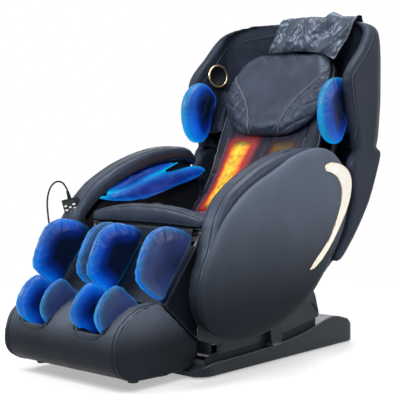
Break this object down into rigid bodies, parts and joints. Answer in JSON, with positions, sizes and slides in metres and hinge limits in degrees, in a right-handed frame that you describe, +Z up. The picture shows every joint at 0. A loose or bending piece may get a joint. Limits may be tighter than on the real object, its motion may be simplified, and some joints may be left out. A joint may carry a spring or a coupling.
{
  "type": "massage chair",
  "caption": "Massage chair with oval side panels, padded arms, blue air cushions, a reclining back with a roller carriage, and a lifting leg rest with foot wells",
  "frame": {"origin": "on the floor, at the middle of the base's central floor pad, in the chair's plane of symmetry", "axes": "+X to the sitter's left, +Y to the back of the chair, +Z up; the sitter faces -Y"},
  "size_m": [0.762, 1.2984, 1.1893],
  "materials": {
    "plastic_black": "satin",
    "panel_slate": "satin pearl",
    "trim_gold": "pearl cream with a gold edge",
    "leather_slate": "fine grain",
    "fabric_grey": "woven",
    "airbag_blue": "coated cloth",
    "heat_glow": "thin cloth",
    "steel_dark": "powder coat",
    "steel_bright": "ground",
    "rubber_black": "matte",
    "roller_cream": "smooth",
    "plastic_grey": "moulded",
    "switch_red": "satin",
    "remote_gloss": "polished",
    "key_light": "satin",
    "speaker_gold": "satin"
  },
  "bodies": {
    "base": {"base_tray": "plastic_black", "base_cover": "plastic_black", "base_frame": "steel_dark", "floor_pads": "rubber_black", "control_box": "plastic_grey", "power_inlet": "plastic_black", "side_panel_left": "panel_slate", "side_panel_right": "panel_slate", "accent_trims": "trim_gold", "arm_frame_left": "plastic_black", "arm_frame_right": "plastic_black", "armrest_left": "leather_slate", "armrest_right": "leather_slate", "arm_bags_left": "airbag_blue", "arm_bags_right": "airbag_blue", "hand_pads": "fabric_grey", "remote_pocket": "plastic_black", "cable_gland": "rubber_black", "remote_body": "plastic_black", "remote_face": "remote_gloss", "remote_keypad": "key_light", "remote_relief": "rubber_black", "remote_cable": "rubber_black"},
    "left_wheel": {"wheel_left": "rubber_black"},
    "right_wheel": {"wheel_right": "rubber_black"},
    "switch_rocker": {"power_switch": "switch_red"},
    "direction_key": {"remote_dpad": "key_light"},
    "centre_key": {"remote_ok_key": "key_light"},
    "power_key": {"remote_power_key": "switch_red"},
    "seat": {"seat_frame": "steel_dark", "seat_cushion": "leather_slate", "seat_band": "leather_slate", "seat_skirt": "fabric_grey", "knee_actuator": "plastic_grey", "recline_actuator": "plastic_grey"},
    "knee_piston": {"knee_rod": "steel_bright"},
    "recline_piston": {"recline_rod": "steel_bright"},
    "back": {"back_frame": "steel_dark", "back_shell": "leather_slate", "back_pad": "leather_slate", "heat_pad": "heat_glow", "head_flap": "leather_slate", "shoulder_bags": "airbag_blue", "speakers": "speaker_gold"},
    "pillow": {"head_pillow": "leather_slate"},
    "massage_carriage": {"carriage": "steel_dark"},
    "left_arm": {"kneading_arm_left": "steel_bright"},
    "right_arm": {"kneading_arm_right": "steel_bright"},
    "upper_left_roller": {"roller_upper_left": "roller_cream"},
    "lower_left_roller": {"roller_lower_left": "roller_cream"},
    "upper_right_roller": {"roller_upper_right": "roller_cream"},
    "lower_right_roller": {"roller_lower_right": "roller_cream"},
    "leg_rest": {"leg_frame": "steel_dark", "calf_shell": "leather_slate", "calf_bags": "airbag_blue"},
    "foot_section": {"foot_shell": "leather_slate", "foot_slides": "steel_bright", "foot_bags": "airbag_blue", "leg_feet": "rubber_black"},
    "sole_roller": {"foot_roller": "roller_cream"}
  },
  "joints": [
    {"name": "left_wheel_spin", "type": "hinge", "parent": "base", "child": "left_wheel", "pos_m": [0.23, 0.42, 0.031], "axis": [1, 0, 0], "continuous": true},
    {"name": "right_wheel_spin", "type": "hinge", "parent": "base", "child": "right_wheel", "pos_m": [-0.23, 0.42, 0.031], "axis": [1, 0, 0], "continuous": true},
    {"name": "mains_rocker", "type": "hinge", "parent": "base", "child": "switch_rocker", "pos_m": [-0.0155, 0.437, 0.047], "axis": [1, 0, 0], "range_deg": [-8, 8]},
    {"name": "direction_press", "type": "slide", "parent": "base", "child": "direction_key", "axis": [-0.3639, 0.9259, 0.1014], "range_m": [0, 0.001], "stiffness_N_per_m": 400},
    {"name": "centre_press", "type": "slide", "parent": "base", "child": "centre_key", "axis": [-0.3639, 0.9259, 0.1014], "range_m": [0, 0.001], "stiffness_N_per_m": 400},
    {"name": "power_press", "type": "slide", "parent": "base", "child": "power_key", "axis": [-0.3639, 0.9259, 0.1014], "range_m": [0, 0.001], "stiffness_N_per_m": 400},
    {"name": "seat_tilt", "type": "hinge", "parent": "base", "child": "seat", "pos_m": [0, 0.13, 0.29], "axis": [-1, 0, 0], "range_deg": [0, 12]},
    {"name": "recline", "type": "hinge", "parent": "seat", "child": "back", "pos_m": [0, 0.13, 0.29], "axis": [-1, 0, 0], "range_deg": [0, 36]},
    {"name": "leg_lift", "type": "hinge", "parent": "seat", "child": "leg_rest", "pos_m": [0, -0.31, 0.44], "axis": [-1, 0, 0], "range_deg": [0, 45]},
    {"name": "foot_slide", "type": "slide", "parent": "leg_rest", "child": "foot_section", "axis": [0, -0.6428, -0.766], "range_m": [0, 0.1]},
    {"name": "sole_roller_spin", "type": "hinge", "parent": "foot_section", "child": "sole_roller", "pos_m": [0, -0.60987, 0.09191], "axis": [1, 0, 0], "continuous": true},
    {"name": "knee_piston_slide", "type": "slide", "parent": "seat", "child": "knee_piston", "axis": [0, -0.9915, 0.1301], "range_m": [0, 0.0272]},
    {"name": "recline_piston_slide", "type": "slide", "parent": "seat", "child": "recline_piston", "axis": [0, -0.9, 0.4359], "range_m": [0, 0.048]},
    {"name": "pillow_lift", "type": "hinge", "parent": "back", "child": "pillow", "pos_m": [0, 0.47535, 1.05881], "axis": [-1, 0, 0], "range_deg": [0, 45]},
    {"name": "carriage_travel", "type": "slide", "parent": "back", "child": "massage_carriage", "axis": [0, 0.4399, 0.898], "range_m": [0, 0.235]},
    {"name": "left_knead", "type": "hinge", "parent": "massage_carriage", "child": "left_arm", "pos_m": [0, 0.32529, 0.57976], "axis": [1, 0, 0], "range_deg": [-8, 8]},
    {"name": "right_knead", "type": "hinge", "parent": "massage_carriage", "child": "right_arm", "pos_m": [0, 0.32529, 0.57976], "axis": [1, 0, 0], "range_deg": [-8, 8]},
    {"name": "upper_left_roller_spin", "type": "hinge", "parent": "left_arm", "child": "upper_left_roller", "pos_m": [0, 0.35081, 0.63185], "axis": [1, 0, 0], "continuous": true},
    {"name": "lower_left_roller_spin", "type": "hinge", "parent": "left_arm", "child": "lower_left_roller", "pos_m": [0, 0.29978, 0.52768], "axis": [1, 0, 0], "continuous": true},
    {"name": "upper_right_roller_spin", "type": "hinge", "parent": "right_arm", "child": "upper_right_roller", "pos_m": [0, 0.35081, 0.63185], "axis": [1, 0, 0], "continuous": true},
    {"name": "lower_right_roller_spin", "type": "hinge", "parent": "right_arm", "child": "lower_right_roller", "pos_m": [0, 0.29978, 0.52768], "axis": [1, 0, 0], "continuous": true}
  ],
  "couplings": [
    {"joint": "knee_piston_slide", "follows": "leg_lift", "m_per_rad": 0.0331},
    {"joint": "recline_piston_slide", "follows": "recline", "m_per_rad": 0.0748},
    {"joint": "right_knead", "follows": "left_knead", "ratio": -1}
  ]
}
